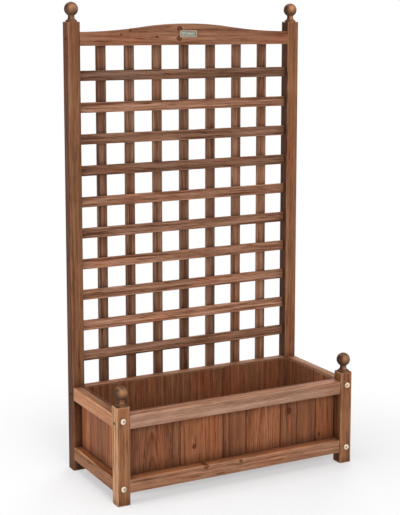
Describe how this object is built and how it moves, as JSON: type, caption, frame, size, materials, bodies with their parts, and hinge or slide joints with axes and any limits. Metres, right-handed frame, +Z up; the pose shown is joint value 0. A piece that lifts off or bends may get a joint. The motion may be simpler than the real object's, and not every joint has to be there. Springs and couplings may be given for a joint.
{
  "type": "planter with trellis",
  "caption": "Rectangular wooden plant box on four ball-topped posts, with a tall slatted trellis and arched top rail between the rear posts.",
  "frame": {"origin": "on the ground under the middle of the box, where the posts stand", "axes": "+X to the right seen from the front, +Y to the rear, where the trellis stands, +Z up"},
  "size_m": [0.7132, 0.335, 1.27],
  "materials": {
    "post_wood": "brown stain on softwood, satin",
    "finial_wood": "turned, brown stain worn paler, satin",
    "rail_wood": "brown stain on softwood, satin",
    "plank_wood": "brown stain on knotty softwood, matte",
    "slat_wood": "brown stain on softwood, matte",
    "dowel_beech": "plain turned beech",
    "bolt_steel": "zinc plated, satin",
    "insert_brass": "machined",
    "screw_steel": "zinc plated",
    "plate_metal": "dull pewter tone"
  },
  "bodies": {
    "root": {"brads": "screw_steel", "connector_bolts": "bolt_steel", "floor_board_1": "plank_wood", "floor_board_2": "plank_wood", "floor_board_3": "plank_wood", "front_bottom_rail": "rail_wood", "front_floor_cleat": "plank_wood", "front_left_finial": "finial_wood", "front_left_post": "post_wood", "front_plank_1": "plank_wood", "front_plank_2": "plank_wood", "front_plank_3": "plank_wood", "front_plank_4": "plank_wood", "front_plank_5": "plank_wood", "front_plank_6": "plank_wood", "front_right_finial": "finial_wood", "front_right_post": "post_wood", "front_top_rail": "rail_wood", "left_bottom_rail": "rail_wood", "left_plank_1": "plank_wood", "left_plank_2": "plank_wood", "left_plank_3": "plank_wood", "left_top_rail": "rail_wood", "name_plate": "plate_metal", "plate_pins": "plate_metal", "rear_board": "plank_wood", "rear_bottom_rail": "rail_wood", "rear_floor_cleat": "plank_wood", "rear_left_finial": "finial_wood", "rear_left_post": "post_wood", "rear_right_finial": "finial_wood", "rear_right_post": "post_wood", "rear_top_rail": "rail_wood", "right_bottom_rail": "rail_wood", "right_plank_1": "plank_wood", "right_plank_2": "plank_wood", "right_plank_3": "plank_wood", "right_top_rail": "rail_wood", "threaded_inserts": "insert_brass", "trellis_arch_rail": "rail_wood", "trellis_crossing_1": "slat_wood", "trellis_crossing_10": "slat_wood", "trellis_crossing_2": "slat_wood", "trellis_crossing_3": "slat_wood", "trellis_crossing_4": "slat_wood", "trellis_crossing_5": "slat_wood", "trellis_crossing_6": "slat_wood", "trellis_crossing_7": "slat_wood", "trellis_crossing_8": "slat_wood", "trellis_crossing_9": "slat_wood", "trellis_upright_1": "slat_wood", "trellis_upright_2": "slat_wood", "trellis_upright_3": "slat_wood", "trellis_upright_4": "slat_wood", "trellis_upright_5": "slat_wood", "trellis_upright_6": "slat_wood", "trellis_upright_7": "slat_wood", "wood_dowels": "dowel_beech", "wood_screws": "screw_steel"}
  },
  "joints": []
}
